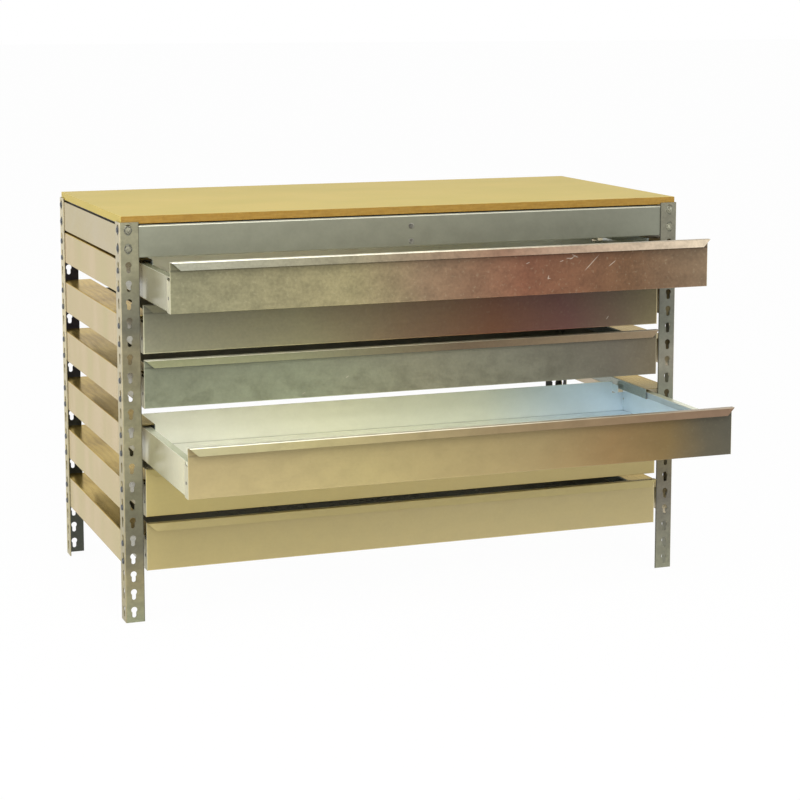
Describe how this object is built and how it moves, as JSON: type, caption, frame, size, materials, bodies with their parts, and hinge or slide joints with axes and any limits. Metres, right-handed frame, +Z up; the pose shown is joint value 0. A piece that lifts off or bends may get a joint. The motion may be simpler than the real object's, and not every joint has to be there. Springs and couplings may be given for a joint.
{
  "type": "workbench",
  "caption": "Workbench with a board top on keyhole angle posts and shallow full-width sheet-metal drawers that slide in side rails and have folded finger hoods.",
  "frame": {"origin": "floor level, under the middle of the whole part's outline in the stored pose, which has the first and fourth drawers part open as in the picture", "axes": "+X to the right seen from the front, -Y towards the front, where the drawers open, +Z up"},
  "size_m": [1.2752, 0.9766, 0.8505],
  "materials": {
    "board": "plain fibreboard, sealed",
    "post_steel": "galvanised, matt",
    "beam_steel": "galvanised, matt",
    "rail_steel": "galvanised, smooth",
    "drawer_steel": "galvanised, faint spangle",
    "rivet_steel": "galvanised"
  },
  "bodies": {
    "frame": {"worktop_board": "board", "post_front_left": "post_steel", "post_front_right": "post_steel", "post_back_left": "post_steel", "post_back_right": "post_steel", "front_beam": "beam_steel", "back_beam": "beam_steel", "side_beam_left": "beam_steel", "side_beam_right": "beam_steel", "centre_tie_bar": "beam_steel", "drawer_rail_left_1": "rail_steel", "drawer_rail_right_1": "rail_steel", "drawer_rail_left_2": "rail_steel", "drawer_rail_right_2": "rail_steel", "drawer_rail_left_3": "rail_steel", "drawer_rail_right_3": "rail_steel", "drawer_rail_left_4": "rail_steel", "drawer_rail_right_4": "rail_steel", "drawer_rail_left_5": "rail_steel", "drawer_rail_right_5": "rail_steel", "drawer_rail_left_6": "rail_steel", "drawer_rail_right_6": "rail_steel", "beam_bolts_front": "rivet_steel", "beam_bolts_back": "rivet_steel", "beam_bolts_left": "rivet_steel", "beam_bolts_right": "rivet_steel", "tie_bar_rivets": "rivet_steel", "rail_rivets_left": "rivet_steel", "rail_rivets_right": "rivet_steel"},
    "drawer_1": {"drawer_tray_1": "drawer_steel", "drawer_front_1": "drawer_steel", "drawer_back_1": "drawer_steel", "drawer_rivets_1": "rivet_steel"},
    "drawer_2": {"drawer_tray_2": "drawer_steel", "drawer_front_2": "drawer_steel", "drawer_back_2": "drawer_steel", "drawer_rivets_2": "rivet_steel"},
    "drawer_3": {"drawer_tray_3": "drawer_steel", "drawer_front_3": "drawer_steel", "drawer_back_3": "drawer_steel", "drawer_rivets_3": "rivet_steel"},
    "drawer_4": {"drawer_tray_4": "drawer_steel", "drawer_front_4": "drawer_steel", "drawer_back_4": "drawer_steel", "drawer_rivets_4": "rivet_steel"},
    "drawer_5": {"drawer_tray_5": "drawer_steel", "drawer_front_5": "drawer_steel", "drawer_back_5": "drawer_steel", "drawer_rivets_5": "rivet_steel"},
    "drawer_6": {"drawer_tray_6": "drawer_steel", "drawer_front_6": "drawer_steel", "drawer_back_6": "drawer_steel", "drawer_rivets_6": "rivet_steel"}
  },
  "joints": [
    {"name": "drawer_1_slide", "type": "slide", "parent": "frame", "child": "drawer_1", "axis": [0, -1, 0], "range_m": [-0.228, 0.172]},
    {"name": "drawer_2_slide", "type": "slide", "parent": "frame", "child": "drawer_2", "axis": [0, -1, 0], "range_m": [0, 0.4]},
    {"name": "drawer_3_slide", "type": "slide", "parent": "frame", "child": "drawer_3", "axis": [0, -1, 0], "range_m": [0, 0.4]},
    {"name": "drawer_4_slide", "type": "slide", "parent": "frame", "child": "drawer_4", "axis": [0, -1, 0], "range_m": [-0.346, 0.054]},
    {"name": "drawer_5_slide", "type": "slide", "parent": "frame", "child": "drawer_5", "axis": [0, -1, 0], "range_m": [0, 0.4]},
    {"name": "drawer_6_slide", "type": "slide", "parent": "frame", "child": "drawer_6", "axis": [0, -1, 0], "range_m": [0, 0.4]}
  ]
}
